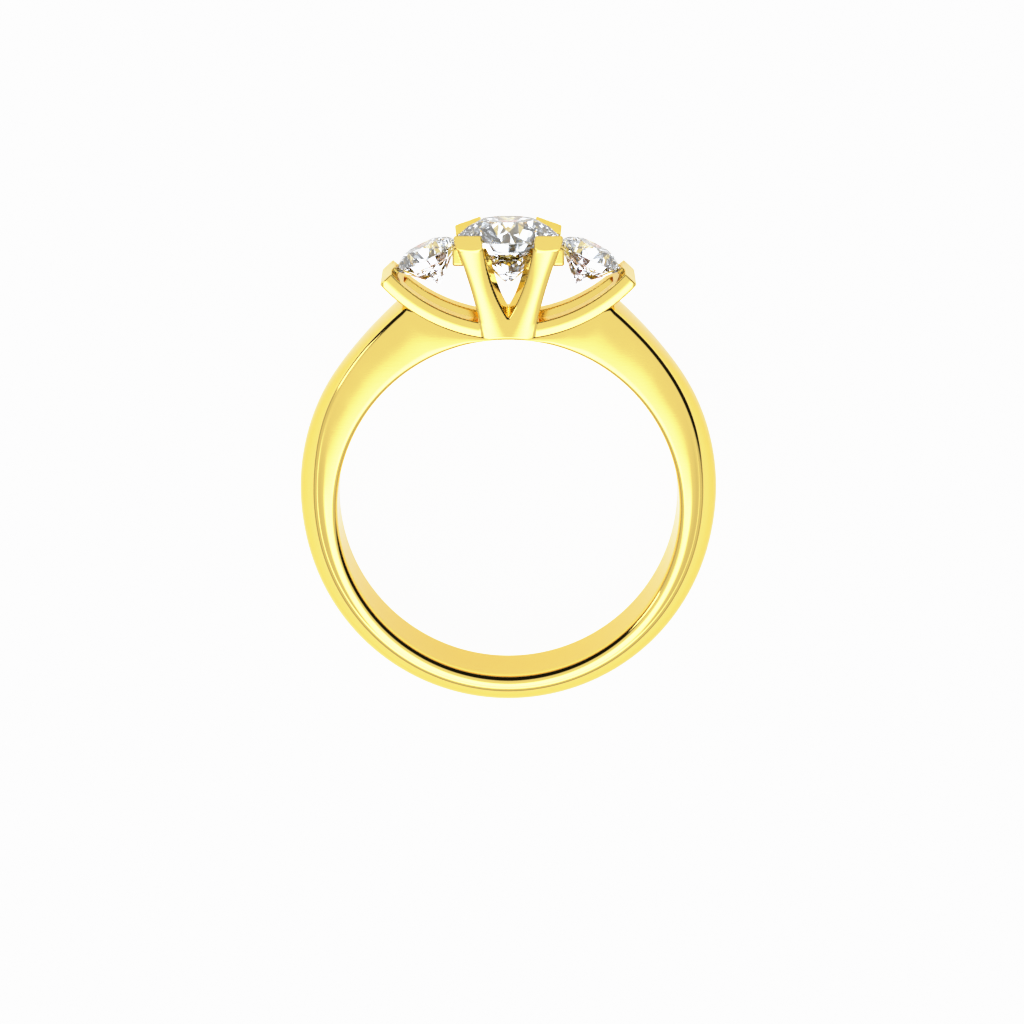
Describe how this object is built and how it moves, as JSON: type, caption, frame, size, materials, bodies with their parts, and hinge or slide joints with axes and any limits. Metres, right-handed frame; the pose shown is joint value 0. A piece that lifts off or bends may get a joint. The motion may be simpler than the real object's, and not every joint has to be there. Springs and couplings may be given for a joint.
{
  "type": "three-stone ring",
  "caption": "Polished gold ring with a domed band, V-shaped claws round a large centre stone, and smaller round stones leaning outwards between curved rails.",
  "frame": {"origin": "centre of the finger hole, half-way through the band", "axes": "+Z along the axis of the finger hole, as the ring lies on its side; +Y from the finger to the centre stone; +X across the row of stones"},
  "size_m": [0.0208, 0.0242, 0.0052],
  "materials": {
    "yellow_gold": "mirror polished",
    "white_stone": "polished facets"
  },
  "bodies": {
    "root": {"ring_mount": "yellow_gold", "centre_stone": "white_stone", "side_stone_left": "white_stone", "side_stone_right": "white_stone"}
  },
  "joints": []
}
